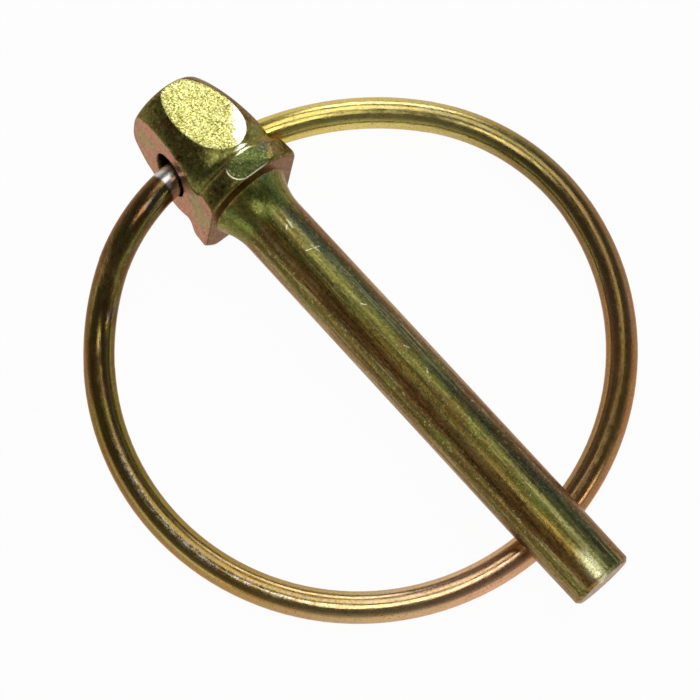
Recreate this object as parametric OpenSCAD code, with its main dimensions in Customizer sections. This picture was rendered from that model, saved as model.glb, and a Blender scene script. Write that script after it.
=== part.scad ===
// Linch pin with a sprung wire ring, lying on its back with the ring closed.
// The forged pin goes through a cross hole in a shaft. The ring swings over the
// free end of the shank, snaps shut behind it and keeps the pin from coming out.
// Millimetres. The shank runs along +X and Z is up. The origin is on the shank's
// axis, halfway between the shoulder and the closed ring, at the middle of the
// length that holds what the pin goes through.

/* [Shank] */
// Diameter of the shank
shank_d = 6.35; // [5.5:0.05:6.9]
// Length from the shoulder to the tip
shank_l = 48.7; // [44:0.1:54]
// Length of the slightly narrowed end
nose_l = 9.2; // [8.6:0.1:11]
// How much thinner the tip is than the shank, on the diameter
nose_taper = 0.15; // [0:0.05:0.6]
// Bevel round the edge of the tip
tip_bevel = 0.3; // [0.1:0.05:0.8]
// Radius of the hollow that blends the shank into the shoulder
root_r = 6; // [2:0.1:8]
// Extra radius of the shank where it meets the shoulder
root_w = 1; // [0.3:0.05:1.2]

/* [Head] */
// Radius of the collar
collar_r = 6.25; // [5.9:0.05:6.8]
// Height of the collar
collar_h = 2.6; // [2.3:0.05:2.9]
// Rounding of the collar's rim at the shoulder
rim_round = 0.45; // [0.1:0.05:0.6]
// Rounding of the collar's other rim, towards the head
collar_round = 1.1; // [0.6:0.05:1.4]
// Height of the whole head above the shoulder
head_h = 13.2; // [11.5:0.1:14.5]
// Radius of the head where it is thickest above the collar
bulb_r = 5.8; // [5.6:0.05:6.1]
// Height of the thickest place above the shoulder
bulb_up = 5.6; // [5:0.1:6.4]
// Lengthwise curve of the head above its thickest place
bulb_curve = 15.5; // [13:0.5:24]
// Lengthwise curve of the head below its thickest place
belly_curve = 8; // [6:0.5:14]
// Radius of the hollow between head and collar
waist_round = 1.2; // [0.6:0.1:2]
// Radius of the slightly domed end of the head
crown_curve = 22; // [12:0.5:40]
// Rounding of the edge round the end of the head
crown_round = 1.1; // [0.6:0.1:1.8]
// Distance from the axis to a side flat, at the shoulder
side_flat = 5.1; // [4.8:0.05:5.5]
// Distance from the axis to the front flat, at the shoulder
front_flat = 6.05; // [5.9:0.05:6.25]
// How far the front flat is off square to the side flats, in degrees
front_skew = 6; // [0:0.5:7]
// Distance from the axis to the back flat, at the shoulder
back_flat = 4.6; // [4.2:0.05:5.2]
// Depth of the small flat pressed on the front of the collar
pad_depth = 0.4; // [0.2:0.05:0.6]
// Draft of the front flat, in degrees
front_draft = 9.5; // [7:0.5:11]
// Draft of the side flats and the back flat, in degrees
side_draft = 7; // [4:0.5:8]
// Turn of the head about the pin's axis, in degrees
head_turn = 22; // [15:0.5:28]

/* [Bore for the ring] */
// Diameter of the bore
bore_d = 4.6; // [4.4:0.05:4.8]
// Height of the bore above the shoulder, on the pin's axis
bore_up = 5.8; // [5.4:0.1:6.2]
// Slant of the bore towards the shank, in degrees
bore_slant = 12; // [8:0.5:13]

/* [Ring] */
// Diameter of the spring wire
wire_d = 3; // [2.5:0.05:3.2]
// Radius of the ring, to the middle of the wire
ring_r = 24.7; // [23.5:0.1:25.5]
// Distance of the ring's centre in front of the shoulder
ring_x = 16.6; // [15.6:0.1:17.6]
// Distance of the ring's centre to the left of the pin's axis
ring_y = 1.8; // [0.8:0.1:2.6]
// Sideways lean of the ring's plane, in degrees
ring_lean = 7.6; // [6:0.1:9]
// Lengthwise dip of the ring's plane, in degrees
ring_dip = 0.9; // [0.2:0.1:1.8]
// Angle that the plain arc covers on the left side
left_sweep = 127; // [118:1:136]
// Angle that the plain arc covers on the right side
right_sweep = 81; // [68:1:90]
// Gap between the closed ring and the shank
snap_gap = 0.04; // [0.02:0.01:0.2]
// Gap between the wire's two ends, inside the bore
end_gap = 2.4; // [1.6:0.1:3.6]
// Tip of the left end of the wire towards the shank, inside the loose bore
left_tip = 16.5; // [12:0.5:18]
// Tip of the right end of the wire towards the shank
right_tip = 5.5; // [2:0.5:9]
// Lift of the right end of the wire out of the bore's line
right_lift = 14; // [10:0.5:17]
// Bevel of the wire's ends
wire_bevel = 0.25; // [0.1:0.05:0.4]

/* [Hidden] */
$fn = 72;
big = 40;
shank_r = shank_d / 2;
nose_r = shank_r - nose_taper / 2;
wire_r = wire_d / 2;

// The pin lies rolled onto the ring, so that the ring is level on the ground.
lie_roll = ring_lean;
// Distance from the shoulder to the origin.
mid_grip = (ring_x + ring_r - wire_r) / 2;

function unit(v) = v / norm(v);

// Centre of the small circle of radius e that rounds the corner between two
// larger circles, from the inside: the crossing of the two shrunken circles.
// A negative e gives the hollow that blends two circles from the outside.
function corner_mid(c1, r1, c2, r2, e) =
    let (
        d = norm(c2 - c1),
        a = r1 - e,
        b = r2 - e,
        along = (d * d + a * a - b * b) / (2 * d),
        across = sqrt(a * a - along * along),
        dir = unit(c2 - c1)
    )
    c1 + along * dir + across * [dir[1], -dir[0]];

bulb_mid = [bulb_r - bulb_curve, bulb_up];
belly_mid = [bulb_r - belly_curve, bulb_up];
crown_mid = [0, head_h - crown_curve];
edge_mid = corner_mid(crown_mid, crown_curve, bulb_mid, bulb_curve, crown_round);
rim_mid = [collar_r - collar_round, collar_h - collar_round];
waist_mid = corner_mid(rim_mid, collar_round, belly_mid, belly_curve, -waist_round);
waist_low = rim_mid + collar_round * unit(waist_mid - rim_mid);
waist_top = belly_mid + belly_curve * unit(waist_mid - belly_mid);

// Everything about the ring is worked out in the pin's frame, before it is
// rolled: X from the shoulder to the tip, Z away from the ring.
plane_n = unit([tan(ring_dip), tan(ring_lean), 1]);
plane_u = unit([1, 0, 0] - plane_n[0] * plane_n);
plane_v = cross(plane_n, plane_u);
cross_x = ring_x + ring_r;
cross_z = -(shank_r + wire_r + snap_gap) / cos(ring_lean);
ring_z = cross_z + (plane_n[0] * (cross_x - ring_x) + plane_n[1] * ring_y) / plane_n[2];
ring_c = [ring_x, -ring_y, ring_z];

// The hinge axis is the axis of the bore.
hinge_p = [-bore_up, 0, 0];
hinge_d = [
    sin(bore_slant),
    cos(bore_slant) * cos(head_turn),
    -cos(bore_slant) * sin(head_turn)
];
// Directions across the bore: towards the shank, and towards the ring's plane.
across_x = unit([1, 0, 0] - hinge_d[0] * hinge_d);
across_z = cross(hinge_d, across_x);

// The wire's straight ends lie in the bore between these distances from its
// middle. Each is tipped about its own middle, which is on the bore's axis.
leg_in = end_gap / 2;
leg_out = 4.2;
leg_mid = (leg_in + leg_out) / 2;
leg_half = (leg_out - leg_in) / 2;
left_d = unit(-hinge_d + tan(left_tip) * across_x);
right_d = unit(hinge_d + tan(right_tip) * across_x - tan(right_lift) * across_z);

// Every second length of the wire is a hair thinner and runs on into its
// neighbours, as the wire is drawn down a little where it is bent.
thin_r = wire_r - 0.02;
run_on = 0.15;

function on_ring(a) = ring_c + ring_r * (cos(a) * plane_u + sin(a) * plane_v);
function ring_dir(a) = -sin(a) * plane_u + cos(a) * plane_v;

// Two arcs that join smoothly, from point p in direction s to point q in
// direction t, meet at this point.
function joint_of(p, s, q, t) =
    let (
        v = q - p,
        w = s + t,
        k = 2 * (1 - s * t),
        d = (-(v * w) + sqrt(pow(v * w, 2) + k * (v * v))) / k
    )
    (p + d * s + q - d * t) / 2;

// One bend of the wire, from point p, which it leaves in direction s, to point q.
// It runs on by the length more at both ends, into the lengths next to it.
module bend(p, s, q, thick, more) {
    v = q - p;
    side = unit(v - (v * s) * s);
    r = (v * v) / (2 * (v * side));
    mid = p + r * side;
    turn = 2 * atan2(v * side, v * s);
    up = cross(-side, s);
    on = more / r * 180 / PI;
    multmatrix([
        [-side[0], s[0], up[0], mid[0]],
        [-side[1], s[1], up[1], mid[1]],
        [-side[2], s[2], up[2], mid[2]],
        [0, 0, 0, 1]
    ])
        rotate([0, 0, -on])
            rotate_extrude(angle = turn + 2 * on, $fn = 180)
                translate([r, 0])
                    circle(r = thick, $fn = 24);
}

// A straight end of the wire, from point p along direction s, bevelled at its end.
module leg(p, s, l) {
    side = unit(cross(s, [0, 0, 1]));
    up = cross(s, side);
    multmatrix([
        [side[0], up[0], s[0], p[0]],
        [side[1], up[1], s[1], p[1]],
        [side[2], up[2], s[2], p[2]],
        [0, 0, 0, 1]
    ]) {
        translate([0, 0, -run_on])
            cylinder(h = l + run_on - wire_bevel, r = thin_r, $fn = 24);
        translate([0, 0, l - wire_bevel])
            cylinder(h = wire_bevel, r1 = thin_r, r2 = thin_r - wire_bevel, $fn = 24);
    }
}

module spring_ring() {
    left_p = hinge_p - leg_mid * hinge_d + leg_half * left_d;
    right_p = hinge_p + leg_mid * hinge_d + leg_half * right_d;
    left_q = on_ring(-left_sweep);
    left_t = ring_dir(-left_sweep);
    right_q = on_ring(right_sweep);
    right_t = ring_dir(right_sweep);
    left_m = joint_of(left_p, left_d, left_q, left_t);
    right_m = joint_of(right_q, right_t, right_p, -right_d);
    color("#b8a24a")
        translate([-mid_grip, 0, 0])
            rotate([lie_roll, 0, 0])
                union() {
                    leg(left_p, -left_d, 2 * leg_half);
                    bend(left_p, left_d, left_m, wire_r, 0);
                    bend(left_q, -left_t, left_m, thin_r, run_on);
                    multmatrix([
                        [plane_u[0], plane_v[0], plane_n[0], ring_c[0]],
                        [plane_u[1], plane_v[1], plane_n[1], ring_c[1]],
                        [plane_u[2], plane_v[2], plane_n[2], ring_c[2]],
                        [0, 0, 0, 1]
                    ])
                        rotate([0, 0, -left_sweep])
                            rotate_extrude(angle = left_sweep + right_sweep, $fn = 180)
                                translate([ring_r, 0])
                                    circle(d = wire_d, $fn = 24);
                    bend(right_q, right_t, right_m, thin_r, run_on);
                    bend(right_p, right_d, right_m, wire_r, 0);
                    leg(right_p, -right_d, 2 * leg_half);
                }
}

// Outline of the collar: a disc with a crisp rim at the shoulder and a soft one
// towards the head.
module collar_outline() {
    square([collar_r - collar_round, collar_h]);
    translate([0, rim_round])
        square([collar_r, collar_h - collar_round - rim_round]);
    square([collar_r - rim_round, collar_h - collar_round]);
    translate([collar_r - rim_round, rim_round])
        circle(r = rim_round);
    translate(rim_mid)
        circle(r = collar_round);
}

// Outline of the head above the collar: a belly, a long taper and a rounded end.
module bulb_outline() {
    difference() {
        intersection() {
            square([big, big]);
            translate(crown_mid)
                circle(r = crown_curve);
            translate(bulb_mid)
                circle(r = bulb_curve);
            union() {
                translate([0, bulb_up])
                    square([big, big]);
                translate(belly_mid)
                    circle(r = belly_curve);
            }
        }
        polygon([
            edge_mid,
            edge_mid + big * unit(edge_mid - crown_mid),
            edge_mid + big * unit(edge_mid - bulb_mid)
        ]);
    }
    translate(edge_mid)
        circle(r = crown_round);
}

// The hollow that blends the collar into the belly.
module waist_outline() {
    difference() {
        polygon([
            [0, waist_low[1]],
            waist_low,
            waist_mid,
            waist_top,
            [0, waist_top[1]]
        ]);
        translate(waist_mid)
            circle(r = waist_round);
    }
}

// The head stands on the shoulder here, with its front flat facing +X.
module head_blank() {
    rotate_extrude() {
        collar_outline();
        bulb_outline();
        waist_outline();
    }
}

// Space outside a forged flat that leans in towards the end of the head.
module flat_cut(at, draft) {
    translate([at, 0, 0])
        rotate([0, -draft, 0])
            translate([0, -big / 2, -big / 2])
                cube([big, big, big]);
}

// The forged flats are pressed first.
module pressed_head() {
    difference() {
        head_blank();
        rotate([0, 0, front_skew])
            flat_cut(front_flat, front_draft);
        rotate([0, 0, 180])
            flat_cut(back_flat, side_draft);
        for (turn = [90, -90])
            rotate([0, 0, turn])
                flat_cut(side_flat, side_draft);
        translate([collar_r - pad_depth, -big / 2, -collar_h])
            cube([big, big, 2 * collar_h]);
    }
}

// The bore is drilled last, from flat to flat.
module head() {
    difference() {
        pressed_head();
        translate([0, 0, bore_up])
            rotate([90 - bore_slant, 0, 0])
                cylinder(h = big, d = bore_d, center = true, $fn = 48);
    }
}

// The shank hangs below the shoulder here. It is turned in one piece and runs on
// into the collar. The hollow at its root is an arc that ends along the shank.
module shank() {
    root_l = sqrt(root_r * root_r - pow(root_r - root_w, 2));
    rotate_extrude()
        difference() {
            polygon([
                [0, collar_h / 2],
                [shank_r + root_w, collar_h / 2],
                [shank_r + root_w, -root_l],
                [shank_r, -root_l],
                [shank_r, nose_l - shank_l],
                [nose_r, tip_bevel - shank_l],
                [nose_r - tip_bevel, -shank_l],
                [0, -shank_l]
            ]);
            translate([shank_r + root_r, -root_l])
                circle(r = root_r);
        }
}

module forged_pin() {
    color("#a08f4e")
        translate([-mid_grip, 0, 0])
            rotate([lie_roll - head_turn, 0, 0])
                rotate([0, -90, 0])
                    union() {
                        head();
                        shank();
                    }
}

forged_pin();
spring_ring();
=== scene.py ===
import math

import bpy
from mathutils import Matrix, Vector

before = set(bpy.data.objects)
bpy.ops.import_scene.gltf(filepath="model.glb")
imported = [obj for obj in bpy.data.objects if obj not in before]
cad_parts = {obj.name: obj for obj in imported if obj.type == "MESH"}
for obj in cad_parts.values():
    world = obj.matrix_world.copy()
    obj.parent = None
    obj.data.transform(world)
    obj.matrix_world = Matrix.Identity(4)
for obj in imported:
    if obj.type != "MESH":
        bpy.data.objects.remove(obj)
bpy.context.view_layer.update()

# ---------------------------------------------------------------- places
# Lengths on the part are in millimetres, in its own frame.
MM = 0.001
SHOULDER_X = -19.9
ROOT_END_X = -16.6
COLLAR_X = -22.5
TIP_X = 28.8
RING_MID = (-3.3, -1.25, -4.39)
RING_R = 24.7
RING_DIP = math.radians(0.9)
MOUTH = (-26.5, -4.9, 1.15)
MOUTH_WAY = (0.078, -0.966, 0.248)
PAD_X = -21.2
PAD_R = 1.15
PAD_HALF = 1.05
SMUDGE_ASIDE = 2.35
SMUDGE_X = PAD_X - 0.5
PALE_FROM_X = -28.0
FLOOR_Z = -6.22
FLOOR_WIDE = 3.0
GLOW_SHARE = 0.96
EDGE_R = 0.45
RELIEF_DEEP = 0.03

# Angles of the head's flats about the pin's axis, in degrees, from straight up towards +Y.
HEAD_LEAN = 14.4
FRONT_SKEW = 6.0
FRONT_DRAFT = 9.5
SIDE_DRAFT = 7.0

# Scratches on the shank, seen from above: start and end along x and y, and width.
SCRATCHES = (
    ((-15.3, 0.9), (-14.4, 0.75), 0.12), ((-14.9, 0.5), (-14.6, 0.2), 0.10),
    ((-11.8, 0.2), (-11.4, 1.4), 0.08), ((-11.9, 0.9), (-11.0, 1.1), 0.07),
    ((1.0, 0.9), (1.4, 1.1), 0.10), ((4.0, 1.0), (4.3, 0.8), 0.09),
    ((-4.6, 0.6), (-4.2, 0.9), 0.08))

# The camera: lens and sensor in millimetres, place in metres and turn in degrees.
LENS = 125.94
SENSOR = 36
CAMERA_PLACE = (0.047262, -0.031518, 0.219275)
CAMERA_TURN = (14.446, 2.966, 48.619)

# Each lamp's name, degrees round from +X, degrees high, width, height, and
# brightness, where 1 shows as white. All stand LAMP_FAR metres away.
LAMP_FAR = 0.6
LAMPS = (
    ("back_softbox", 130, 26, 0.34, 0.16, 3.4),
    ("overhead_panel", 128, 61, 0.36, 0.27, 1.8),
    ("top_panel", -32, 83, 0.20, 0.20, 3.6),
    ("right_strip", 26, 30, 0.06, 0.12, 6.0),
    ("left_wall", -105, 12, 0.60, 0.18, 1.0))

# Pale walls round the table, and a darker ceiling.
WALLS = [(0.0, "#ffffff"), (0.12, "#e4e4e4"), (0.35, "#989898"), (0.6, "#707070"), (1.0, "#606060")]

# ---------------------------------------------------------------- colours of the plating, with painted light in some
# Once round the shank, from underneath. The middle of the list is its top. Partly painted light: the pale
# pink on both sides is painted reflection, and the yellow-green just past the top is a painted highlight;
# the other streaks are the plating's.
SHANK_STREAKS_AND_REFLECTIONS = [
    (0.00, "#8d7a48"), (0.20, "#a08260"), (0.25, "#a88a6c"), (0.30, "#9a825c"),
    (0.35, "#705f2c"), (0.39, "#564620"), (0.42, "#a8743a"), (0.46, "#a4863a"),
    (0.49, "#5c5624"), (0.54, "#82803e"), (0.575, "#4a564a"), (0.61, "#46442a"),
    (0.65, "#84644a"), (0.70, "#a88668"), (0.78, "#a08260"), (1.00, "#8d7a48")]
HEAD_BLOTCHES = [
    (0.32, "#33270f"), (0.42, "#5a4420"), (0.50, "#6a6a32"), (0.60, "#6e522a"), (0.70, "#86864a")]
PITTED = [(0.36, "#57531f"), (0.45, "#8d893e"), (0.53, "#bdb96c"), (0.66, "#e2dfae")]
# Once round the wire's own thickness, from underneath. Partly painted light: the pale pink on its inner
# and outer sides is painted reflection, and the yellow-green line on its upper inner side is a painted
# highlight.
WIRE_BANDS_AND_REFLECTIONS = [
    (0.00, "#9a7a48"), (0.20, "#b8988a"), (0.26, "#8e6a54"), (0.32, "#4e4426"),
    (0.37, "#a4a850"), (0.41, "#6c5c2e"), (0.48, "#84703a"), (0.54, "#96804a"),
    (0.60, "#62401f"), (0.67, "#a87048"), (0.75, "#c8a48c"), (0.82, "#b89878"),
    (1.00, "#9a7a48")]
# Once round the ring from the head, by way of -Y: brown, gold, copper by the tip, olive, then gold. Partly
# the plating's own tint and partly painted light: the pale gold and pink at the top and the bottom are
# painted highlights, and the dark brown on the left by the head is painted shade.
RING_TINT_AND_PAINTED_LIGHT = [
    (0.00, "#5e4a32"), (0.07, "#584024"), (0.14, "#664a22"), (0.22, "#7a622c"), (0.32, "#b89450"),
    (0.39, "#d6b884"), (0.46, "#f0bc94"), (0.53, "#a07450"), (0.61, "#a07048"),
    (0.69, "#826440"), (0.77, "#847244"), (0.83, "#dcc878"), (0.89, "#f2e084"),
    (0.95, "#f0d870"), (1.00, "#5e4a32")]

# Stains: where the pattern starts to stain, where it stains in full, how strongly, and the shade.
SHANK_LINES = ((0.53, 0.64, 0.5, "#bcb478"), (0.50, 0.40, 0.65, "#4a3a1e"))
SHANK_CLOUDS = ((0.53, 0.66, 0.33, "#6b7c38"), (0.47, 0.36, 0.55, "#6e4624"))
WIRE_LINES = ((0.52, 0.66, 0.45, "#c8bc88"), (0.50, 0.38, 0.55, "#54381e"))
WIRE_CLOUDS = ((0.52, 0.64, 0.4, "#7d8a3a"),)
HEAD_RUST = ((0.54, 0.64, 0.7, "#5c3218"),)
OLIVE_WEDGE = ((0.57, 0.63, 1.0, "#98885a"),)
COPPER_SHADE = ((0.46, 0.30, 0.5, "#6a5648"),)
PALE_CORNER = ((1.45, 1.95, 1.0, "#f4f2e0"),)
PILL_GRAIN = ((0.42, 0.6, 1.0, "#5a6434"),)
# Long streaks of green, copper and blue-grey on the wire. The first number sets them apart.
WIRE_STREAKS = ((0, "#788428"), (40, "#a85c30"), (80, "#74767a"))
# Share of the ring's tint, with its painted highlights and painted shade, in the wire's colour.
TINT_AND_PAINTED_LIGHT_SHARE = 0.68

EVEN = (1, 1, 1)


def linear(hex_colour):
    """An sRGB hex colour as the linear RGBA that Blender's sockets take."""
    values = [int(hex_colour[i:i + 2], 16) / 255 for i in (1, 3, 5)]
    return [v / 12.92 if v <= 0.04045 else ((v + 0.055) / 1.055) ** 2.4 for v in values] + [1.0]


def add(tree, kind, links=None, out=0, stops=(), **settings):
    """Adds one node and gives its output. links maps an input to a value, to a hex
    colour or to another node's output, and stops lists the colours of a ramp."""
    node = tree.nodes.new(kind)
    for name, value in settings.items():
        setattr(node, name, value)
    for key, value in (links or {}).items():
        if isinstance(value, bpy.types.NodeSocket):
            tree.links.new(value, node.inputs[key])
        else:
            node.inputs[key].default_value = linear(value) if isinstance(value, str) else value
    while stops and len(node.color_ramp.elements) < len(stops):
        node.color_ramp.elements.new(0.5)
    for index, (place, shade) in enumerate(stops):
        node.color_ramp.elements[index].position = place
        node.color_ramp.elements[index].color = linear(shade)
    return node.outputs[out] if node.outputs else None


# ---------------------------------------------------------------- how the finish is laid on
def overlap(tree, *shares):
    """1 only where every share is 1. A share given as (value, none, full) goes smoothly
    from 0 where the value is none to 1 where it is full."""
    product = None
    for share in shares:
        if isinstance(share, tuple):
            value, none, full = share
            share = add(tree, "ShaderNodeMapRange", {0: value, 1: none, 2: full, 3: 0.0, 4: 1.0},
                        interpolation_type="SMOOTHSTEP")
        if product is None:
            product = share
        else:
            product = add(tree, "ShaderNodeMath", {0: product, 1: share}, operation="MULTIPLY")
    return product


def band(tree, value, low, high, edge):
    """1 between low and high and 0 outside them, with soft edges."""
    return overlap(tree, (value, low - edge, low + edge), (value, high + edge, high - edge))


def lay_over(tree, colour, share, strength, shade):
    """Covers a colour with a shade where share is 1, as strongly as strength says."""
    cover = overlap(tree, share, strength)
    return add(tree, "ShaderNodeMix", {0: cover, 6: colour, 7: shade}, out=2, data_type="RGBA")


def stained(tree, colour, pattern, stains):
    """A colour with each of the stains laid over it where the pattern is strong enough."""
    for low, high, strength, shade in stains:
        colour = lay_over(tree, colour, overlap(tree, (pattern, low, high)), strength, shade)
    return colour


def mottle(tree, place, per_mm, detail, rough, stretch=EVEN):
    """A cloudy pattern with per_mm waves to the millimetre, longer where stretch is small."""
    shaped = add(tree, "ShaderNodeMapping", {0: place, 3: stretch})
    return add(tree, "ShaderNodeTexNoise", {"Vector": shaped, "Scale": per_mm,
                                            "Detail": detail, "Roughness": rough})


def once_round(tree, across, up):
    """The place round a circle as a share from 0 to 1. It is 0.5 in the direction of up."""
    angle = add(tree, "ShaderNodeMath", {0: across, 1: up}, operation="ARCTAN2")
    share = add(tree, "ShaderNodeMath", {0: angle, 1: 2 * math.pi}, operation="DIVIDE")
    return add(tree, "ShaderNodeMath", {0: share, 1: 0.5}, operation="ADD")


def wavered(tree, value, pattern, most):
    """A value that a pattern pushes a little to and fro, so that no streak is straight."""
    shift = add(tree, "ShaderNodeMath", {0: pattern, 1: 0.5}, operation="SUBTRACT")
    return add(tree, "ShaderNodeMath", {0: value, 1: overlap(tree, shift, most)}, operation="ADD")


def flat_direction(turn, draft=0.0):
    """Outward direction of a flat of the head, turn degrees about the pin from its front."""
    a, d = math.radians(turn + HEAD_LEAN), math.radians(draft)
    return (-math.sin(d), math.cos(d) * math.sin(a), math.cos(d) * math.cos(a))


def facing(tree, normal, way, low=0.985, high=0.996):
    """1 where the surface faces a given way."""
    dot = add(tree, "ShaderNodeVectorMath", {0: normal, 1: way}, out="Value", operation="DOT_PRODUCT")
    return overlap(tree, (dot, low, high))


# ---------------------------------------------------------------- camera
camera_data = bpy.data.cameras.new("camera")
camera_data.lens = LENS
camera_data.sensor_width = SENSOR
camera_data.clip_start = 0.01
camera = bpy.data.objects.new("camera", camera_data)
camera.location = CAMERA_PLACE
camera.rotation_euler = [math.radians(a) for a in CAMERA_TURN]
bpy.context.collection.objects.link(camera)
bpy.context.scene.camera = camera


# ---------------------------------------------------------------- light
scene = bpy.context.scene
scene.view_settings.view_transform = "Standard"


def softbox(name, turn, up, wide, tall, brightness):
    """A lamp that looks at the part from turn degrees round and up degrees high."""
    turn, up = math.radians(turn), math.radians(up)
    way = Vector((math.cos(up) * math.cos(turn), math.cos(up) * math.sin(turn), math.sin(up)))
    data = bpy.data.lights.new(name, "AREA")
    data.shape = "RECTANGLE"
    data.size = wide
    data.size_y = tall
    data.energy = brightness * math.pi * wide * tall
    lamp = bpy.data.objects.new(name, data)
    lamp.location = way * LAMP_FAR
    lamp.rotation_euler = (-way).to_track_quat("-Z", "Y").to_euler()
    bpy.context.collection.objects.link(lamp)


for lamp_settings in LAMPS:
    softbox(*lamp_settings)

world = bpy.data.worlds.new("studio")
scene.world = world
world.use_nodes = True
sky = world.node_tree
sky.nodes.clear()
sky_way = add(sky, "ShaderNodeTexCoord", out="Generated")
sky_height = add(sky, "ShaderNodeSeparateXYZ", {0: sky_way}, out="Z")
sky_tone = add(sky, "ShaderNodeValToRGB", {0: sky_height}, stops=WALLS)
backdrop = add(sky, "ShaderNodeBackground", {"Color": sky_tone, "Strength": 1.0})
add(sky, "ShaderNodeOutputWorld", {0: backdrop})


# ---------------------------------------------------------------- floor
bpy.ops.object.select_all(action="DESELECT")
bpy.ops.mesh.primitive_plane_add(size=FLOOR_WIDE, location=(0, 0, FLOOR_Z * MM))
floor = bpy.context.object
floor.name = "floor"


def new_finish(name):
    """A new material, and its empty tree of nodes."""
    material = bpy.data.materials.new(name)
    material.use_nodes = True
    material.node_tree.nodes.clear()
    return material, material.node_tree


def white_paper():
    """Backlit white paper. It looks pure white and keeps a light shadow of what lies on it."""
    material, tree = new_finish("white_paper")
    seen = None
    for ray in ("Is Camera Ray", "Is Glossy Ray", "Is Transmission Ray"):
        this = add(tree, "ShaderNodeLightPath", out=ray)
        seen = add(tree, "ShaderNodeMath", {0: seen, 1: this}, operation="MAXIMUM") if seen else this
    matt = add(tree, "ShaderNodeBsdfDiffuse", {"Color": "#fafafa"})
    glow = add(tree, "ShaderNodeEmission", {"Color": "#ffffff", "Strength": 1.0})
    both = add(tree, "ShaderNodeMixShader", {0: overlap(tree, seen, GLOW_SHARE), 1: matt, 2: glow})
    add(tree, "ShaderNodeOutputMaterial", {0: both})
    return material


floor.data.materials.append(white_paper())


# ---------------------------------------------------------------- plating
def coordinates(tree):
    """The place on the part in millimetres, and the surface's direction."""
    place = add(tree, "ShaderNodeTexCoord", out="Object")
    in_mm = add(tree, "ShaderNodeVectorMath", {0: place, "Scale": 1 / MM}, operation="SCALE")
    return in_mm, add(tree, "ShaderNodeTexCoord", out="Normal")


def finish_metal(tree, colour, roughness, height, edge=None):
    """Plated metal with fine relief and the given colour and roughness. edge rounds its corners."""
    links = {"Strength": 0.6, "Distance": RELIEF_DEEP * MM, "Height": height}
    if edge:
        links["Normal"] = edge
    relief = add(tree, "ShaderNodeBump", links)
    metal = add(tree, "ShaderNodeBsdfPrincipled", {"Base Color": colour, "Roughness": roughness,
                                                   "Metallic": 1.0, "Normal": relief,
                                                   "Specular Tint": "#f2dccf"})
    add(tree, "ShaderNodeOutputMaterial", {0: metal})


def uneven_gloss(tree, place, smoothest, roughest, stretch=EVEN):
    """Roughness that drifts in cloudy patches about 0.7 mm across."""
    pattern = mottle(tree, place, 1.5, 3.0, 0.6, stretch)
    return add(tree, "ShaderNodeMapRange", {0: pattern, 1: 0.3, 2: 0.7, 3: smoothest, 4: roughest})


def specks(tree, place, colour, per_mm, light, dark):
    """Light and dark grains in the chromate. They are drawn 0.15 to 0.3 mm across, as
    coarse as they need to be to show."""
    grain = mottle(tree, place, per_mm, 3.0, 0.7)
    return stained(tree, colour, grain, ((0.58, 0.74, light, "#cfcf98"), (0.48, 0.34, dark, "#2e2c18")))


def scratch(tree, place, start, end, width):
    """1 on a short scratch from start to end, given in millimetres along x and y."""
    run = Vector((end[0] - start[0], end[1] - start[1], 0))
    level = add(tree, "ShaderNodeVectorMath", {0: place, 1: (1, 1, 0)}, operation="MULTIPLY")
    from_start = add(tree, "ShaderNodeVectorMath", {0: level, 1: (*start, 0)}, operation="SUBTRACT")
    share = add(tree, "ShaderNodeVectorMath", {0: from_start, 1: run / run.length_squared}, out="Value",
                operation="DOT_PRODUCT")
    share = add(tree, "ShaderNodeMath", {0: share, 1: 0.0}, operation="MAXIMUM")
    share = add(tree, "ShaderNodeMath", {0: share, 1: 1.0}, operation="MINIMUM")
    nearest = add(tree, "ShaderNodeVectorMath", {0: run, "Scale": share}, operation="SCALE")
    off = add(tree, "ShaderNodeVectorMath", {0: from_start, 1: nearest}, out="Value", operation="DISTANCE")
    return overlap(tree, (off, width, width * 0.4))


def shank_colour(tree, place, turn):
    """Streaks along the shank by their place round it, partly painted reflection and highlight, with drawn
    lines and cloudy patches.
    """
    colour = add(tree, "ShaderNodeValToRGB", {0: turn}, stops=SHANK_STREAKS_AND_REFLECTIONS)
    # Drawn lines about half a millimetre apart, and clouds of about 2 mm. Both run lengthwise.
    colour = stained(tree, colour, mottle(tree, place, 2.2, 3.0, 0.7, (0.03, 1, 1)), SHANK_LINES)
    return stained(tree, colour, mottle(tree, place, 0.55, 4.0, 0.65, (0.3, 1, 1)), SHANK_CLOUDS)


def head_colour(tree, place, x, blotch):
    """Olive and brown blotches with rust, and more green in the hollow waist."""
    colour = add(tree, "ShaderNodeValToRGB", {0: blotch}, stops=HEAD_BLOTCHES)
    colour = stained(tree, colour, mottle(tree, place, 0.5, 3.0, 0.6, (1, 1.4, 1)), HEAD_RUST)
    waist = band(tree, x, COLLAR_X - 2.0, COLLAR_X + 0.5, 1.0)
    return lay_over(tree, colour, waist, 0.5, "#7c8040")


def side_copper(tree, place, blotch):
    """The copper colour of the side flats, with an olive wedge."""
    colour = stained(tree, "#b27c64", mottle(tree, place, 0.22, 2.0, 0.5), OLIVE_WEDGE)
    return stained(tree, colour, blotch, COPPER_SHADE)


def pitted_flat(tree, x, aside, blotch, pits):
    """The bright, finely pitted flat on top of the head, turning paler towards the collar on one side."""
    colour = add(tree, "ShaderNodeValToRGB", {0: pits}, stops=PITTED)
    forward = add(tree, "ShaderNodeMath", {0: x, 1: PALE_FROM_X}, operation="SUBTRACT")
    paleness = add(tree, "ShaderNodeMath", {0: overlap(tree, aside, 0.33), 1: overlap(tree, forward, 0.25)},
               operation="ADD")
    paleness = add(tree, "ShaderNodeMath", {0: paleness, 1: overlap(tree, blotch, 0.8)}, operation="ADD")
    return stained(tree, colour, paleness, PALE_CORNER)


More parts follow.
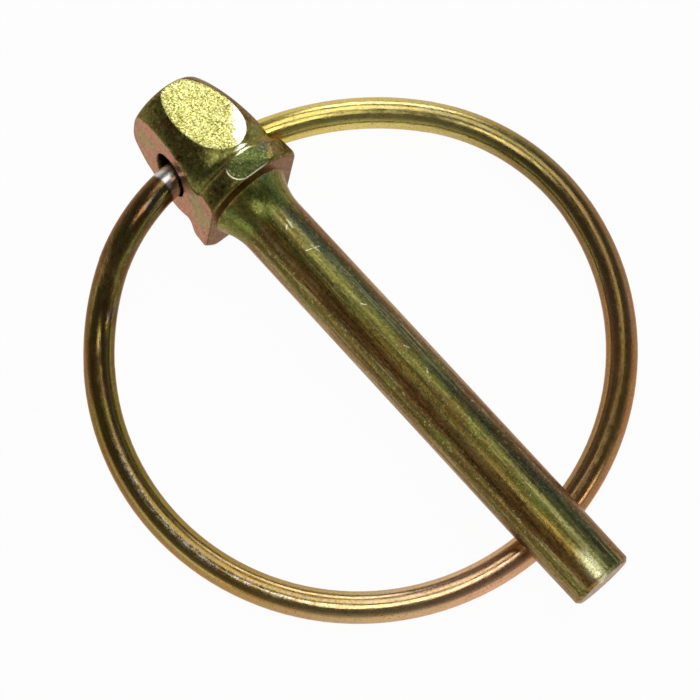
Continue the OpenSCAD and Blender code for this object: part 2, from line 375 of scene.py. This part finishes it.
def collar_marks(tree, colour, normal, x, aside, in_collar, blotch, pits):
    """The dark olive pill on the collar with a painted highlight on its rim, and the copper beside it."""
    in_front = facing(tree, normal, flat_direction(0), 0.80, 0.95)
    beyond = add(tree, "ShaderNodeMath", {0: aside}, operation="ABSOLUTE")
    beyond = add(tree, "ShaderNodeMath", {0: beyond, 1: PAD_HALF}, operation="SUBTRACT")
    beyond = add(tree, "ShaderNodeMath", {0: beyond, 1: 0.0}, operation="MAXIMUM")
    forward = add(tree, "ShaderNodeMath", {0: x, 1: PAD_X}, operation="SUBTRACT")
    reach = add(tree, "ShaderNodeCombineXYZ", {0: beyond, 1: forward})
    reach = add(tree, "ShaderNodeVectorMath", {0: reach}, out="Value", operation="LENGTH")
    pill = overlap(tree, (reach, PAD_R + 0.02, PAD_R - 0.06), in_front)
    colour = lay_over(tree, colour, pill, 1.0, stained(tree, "#3c4420", pits, PILL_GRAIN))
    # The pale rim round the pill is a painted highlight, strongest on one side.
    highlight_side = add(tree, "ShaderNodeMath", {0: aside, 1: blotch}, operation="ADD")
    rim_highlight = overlap(tree, band(tree, reach, PAD_R, PAD_R + 0.11, 0.04), in_front, (highlight_side, 2.3, 0.9))
    colour = lay_over(tree, colour, rim_highlight, 1.0, "#f0eec8")
    ear = overlap(tree, in_collar, (aside, 2.2, 3.2), in_front)
    colour = lay_over(tree, colour, ear, 0.7, "#a0745a")
    # A dark smudge on the copper.
    spot = add(tree, "ShaderNodeCombineXYZ", {0: aside, 1: x})
    spot = add(tree, "ShaderNodeVectorMath", {0: spot, 1: (SMUDGE_ASIDE, SMUDGE_X, 0)}, out="Value",
               operation="DISTANCE")
    spot = add(tree, "ShaderNodeMath", {0: spot, 1: blotch}, operation="ADD")
    return lay_over(tree, colour, overlap(tree, (spot, 1.4, 0.8), in_front), 0.7, "#363a36")


def pin_plating():
    """Zinc with a yellow chromate film on forged steel. It gives a satin metal, streaked olive and brown
    along the shank, blotchy on the head and copper on its sides. Some shank streaks are painted reflection
    and highlight, and the pill's pale rim and the bright tip are painted highlights."""
    material, tree = new_finish("yellow_chromate_forged")
    place, normal = coordinates(tree)
    x, y, z = [add(tree, "ShaderNodeSeparateXYZ", {0: place}, out=axis) for axis in "XYZ"]
    aside = add(tree, "ShaderNodeVectorMath", {0: place, 1: flat_direction(90)}, out="Value",
                operation="DOT_PRODUCT")
    blotch = mottle(tree, place, 0.8, 4.0, 0.65)
    # Pits are drawn about 0.2 mm across, as coarse as they need to be to show.
    pits = mottle(tree, place, 5.0, 3.0, 0.7)
    in_head = overlap(tree, (x, SHOULDER_X + 0.15, SHOULDER_X - 0.15))
    in_bulb = overlap(tree, (x, COLLAR_X + 0.2, COLLAR_X - 0.2))
    in_collar = add(tree, "ShaderNodeMath", {0: in_head, 1: in_bulb}, operation="SUBTRACT")

    wander = mottle(tree, place, 0.5, 3.0, 0.6, (0.12, 1, 1))
    turn = wavered(tree, once_round(tree, y, z), wander, 0.10)
    colour = shank_colour(tree, place, turn)
    colour = lay_over(tree, colour, in_head, 1.0, head_colour(tree, place, x, blotch))
    # Green at the root of the shank.
    root = band(tree, x, SHOULDER_X, ROOT_END_X, 0.8)
    colour = lay_over(tree, colour, root, 0.6, "#6f8038")

    left, right = [facing(tree, normal, flat_direction(way, SIDE_DRAFT)) for way in (-90, 90)]
    sides = add(tree, "ShaderNodeMath", {0: left, 1: right}, operation="MAXIMUM")
    sides = overlap(tree, sides, in_head)
    colour = lay_over(tree, colour, sides, 1.0, side_copper(tree, place, blotch))
    front = overlap(tree, facing(tree, normal, flat_direction(FRONT_SKEW, FRONT_DRAFT)), in_bulb)
    colour = lay_over(tree, colour, front, 1.0, pitted_flat(tree, x, aside, blotch, pits))
    colour = collar_marks(tree, colour, normal, x, aside, in_collar, blotch, pits)
    # The shoulder's underside is maroon.
    under = overlap(tree, facing(tree, normal, (1, 0, 0), 0.9, 0.97), (x, ROOT_END_X, SHOULDER_X + 0.3))
    colour = lay_over(tree, colour, under, 1.0, "#6a4632")

    # A painted highlight near the tip, along the top.
    tip_highlight = overlap(tree, (x, TIP_X - 4.0, TIP_X - 1.5), band(tree, turn, 0.455, 0.51, 0.02))
    colour = lay_over(tree, colour, tip_highlight, 0.8, "#f4f0b8")
    on_top = overlap(tree, (z, 0.0, 0.5))
    for start, end, width in SCRATCHES:
        mark = overlap(tree, scratch(tree, place, start, end, width), on_top)
        colour = lay_over(tree, colour, mark, 0.7, "#e8e4c0")

    colour = specks(tree, place, colour, 3.2, 0.5, 0.5)
    colour = specks(tree, place, colour, 7.0, 0.5, 0.6)
    relief = add(tree, "ShaderNodeMath", {0: mottle(tree, place, 3.0, 4.0, 0.65, (0.5, 1, 1)),
                                          1: overlap(tree, pits, 0.5)}, operation="ADD")
    edge = add(tree, "ShaderNodeBevel", {"Radius": EDGE_R * MM}, samples=6)
    finish_metal(tree, colour, uneven_gloss(tree, place, 0.22, 0.36, (0.4, 1, 1)), relief, edge)
    return material


def wire_plating():
    """Zinc with a yellow chromate film on drawn spring wire. It gives a smoother, glossier metal than the
    forging, with bands that follow the wire round the ring. The bands and the ring's tint are partly
    painted light."""
    material, tree = new_finish("yellow_chromate_wire")
    place, normal = coordinates(tree)
    local = add(tree, "ShaderNodeVectorMath", {0: place, 1: RING_MID}, operation="SUBTRACT")
    x, y, z = [add(tree, "ShaderNodeSeparateXYZ", {0: local}, out=axis) for axis in "XYZ"]

    # Bands go by the way the wire's side faces: out from the ring's middle, and up. They are partly
    # painted reflection and highlight.
    flat = add(tree, "ShaderNodeCombineXYZ", {0: x, 1: y})
    ray = add(tree, "ShaderNodeVectorMath", {0: flat}, operation="NORMALIZE")
    outward = add(tree, "ShaderNodeVectorMath", {0: normal, 1: ray}, out="Value", operation="DOT_PRODUCT")
    upward = add(tree, "ShaderNodeSeparateXYZ", {0: normal}, out="Z")
    # A place on the wire: out from its middle, up, and along it.
    out_from = add(tree, "ShaderNodeVectorMath", {0: flat}, out="Value", operation="LENGTH")
    out_from = add(tree, "ShaderNodeMath", {0: out_from, 1: RING_R}, operation="SUBTRACT")
    up = add(tree, "ShaderNodeMath", {0: z, 1: overlap(tree, x, math.tan(RING_DIP))}, operation="ADD")
    along = add(tree, "ShaderNodeMath", {0: y, 1: x}, operation="ARCTAN2")
    track = add(tree, "ShaderNodeCombineXYZ", {0: out_from, 1: up, 2: overlap(tree, along, 1.2)})

    turn = wavered(tree, once_round(tree, outward, upward), mottle(tree, track, 1.0, 3.0, 0.6), 0.16)
    colour = add(tree, "ShaderNodeValToRGB", {0: turn}, stops=WIRE_BANDS_AND_REFLECTIONS)
    colour = stained(tree, colour, mottle(tree, track, 2.4, 3.0, 0.7), WIRE_LINES)
    colour = stained(tree, colour, mottle(tree, place, 0.25, 3.0, 0.5), WIRE_CLOUDS)
    for shift, shade in WIRE_STREAKS:
        moved = add(tree, "ShaderNodeVectorMath", {0: track, 1: (0, 0, shift)}, operation="ADD")
        streak = mottle(tree, moved, 0.7, 3.0, 0.6)
        colour = stained(tree, colour, streak, ((0.56, 0.66, 0.8, shade),))
    # The tint round the ring: partly the plating's own, partly painted highlights at top and bottom and
    # painted shade on the left.
    round_ring = once_round(tree, y, x)
    tint_and_painted_light = add(tree, "ShaderNodeValToRGB", {0: round_ring}, stops=RING_TINT_AND_PAINTED_LIGHT)
    colour = add(tree, "ShaderNodeMix", {0: TINT_AND_PAINTED_LIGHT_SHARE, 6: colour, 7: tint_and_painted_light}, out=2, data_type="RGBA")
    # A whitish line along the middle of the wire on the lower left of the ring.
    whitish_line = overlap(tree, band(tree, turn, 0.47, 0.53, 0.02), band(tree, round_ring, 0.21, 0.36, 0.03),
                     (mottle(tree, place, 2.5, 3.0, 0.7), 0.44, 0.56))
    colour = lay_over(tree, colour, whitish_line, 0.5, "#f0e8d8")
    colour = specks(tree, place, colour, 5.0, 0.25, 0.4)

    # Bare metal, rubbed bright where the wire goes into the bore.
    from_mouth = add(tree, "ShaderNodeVectorMath", {0: place, 1: MOUTH}, operation="SUBTRACT")
    far = add(tree, "ShaderNodeVectorMath", {0: from_mouth}, out="Value", operation="LENGTH")
    outwards = add(tree, "ShaderNodeVectorMath", {0: from_mouth, 1: MOUTH_WAY}, out="Value",
                   operation="DOT_PRODUCT")
    bare = overlap(tree, band(tree, outwards, -3.0, 0.75, 0.15), (far, 4.0, 3.0))
    colour = lay_over(tree, colour, bare, 1.0, "#c4c2bc")

    relief = mottle(tree, track, 3.0, 3.0, 0.6)
    finish_metal(tree, colour, uneven_gloss(tree, place, 0.14, 0.27), relief)
    return material


for name, plating in (("forged_pin", pin_plating()), ("spring_ring", wire_plating())):
    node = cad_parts[name]
    node.data.materials.clear()
    node.data.materials.append(plating)
